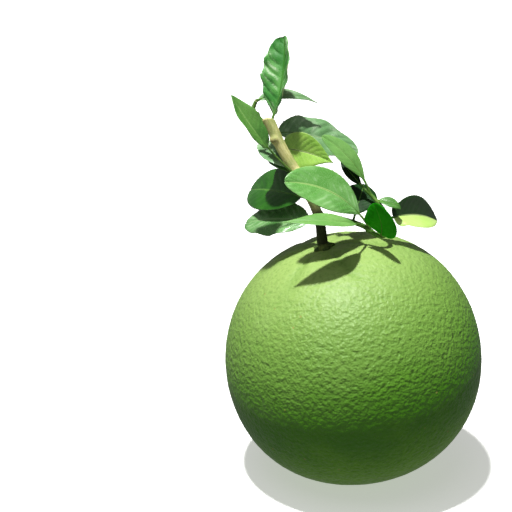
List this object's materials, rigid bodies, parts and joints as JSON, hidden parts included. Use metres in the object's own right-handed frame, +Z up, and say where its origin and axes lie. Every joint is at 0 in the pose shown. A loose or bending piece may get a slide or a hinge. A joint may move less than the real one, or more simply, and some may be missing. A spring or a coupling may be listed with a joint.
{
  "type": "pomelo",
  "caption": "Large round green citrus fruit resting on its end, with the cut piece of leafy twig that it grew on still standing from its stem end",
  "frame": {"origin": "centre of the small flat spot that the fruit rests on", "axes": "+Z up, towards the stem and leaves; -Y towards the viewer of the picture; +X to the viewer's right"},
  "size_m": [0.1606, 0.1607, 0.2766],
  "materials": {
    "peel": "satin, pebbled",
    "bark": "matte",
    "shoot": "satin",
    "leaf": "waxy, half gloss"
  },
  "bodies": {
    "root": {"fruit": "peel", "calyx": "shoot", "branch": "bark", "shoot_right": "shoot", "shoot_top": "shoot", "leaf_crown": "leaf", "leaf_crown_back": "leaf", "leaf_high_left": "leaf", "leaf_low_left": "leaf", "leaf_high_right": "leaf", "leaf_bright": "leaf", "leaf_left": "leaf", "leaf_left_gloss": "leaf", "leaf_back": "leaf", "leaf_front": "leaf", "leaf_front_low": "leaf", "leaf_dark": "leaf", "leaf_right": "leaf", "leaf_right_small": "leaf", "leaf_upper_right": "leaf", "leaf_upper_back": "leaf", "leaf_back_low": "leaf"}
  },
  "joints": []
}
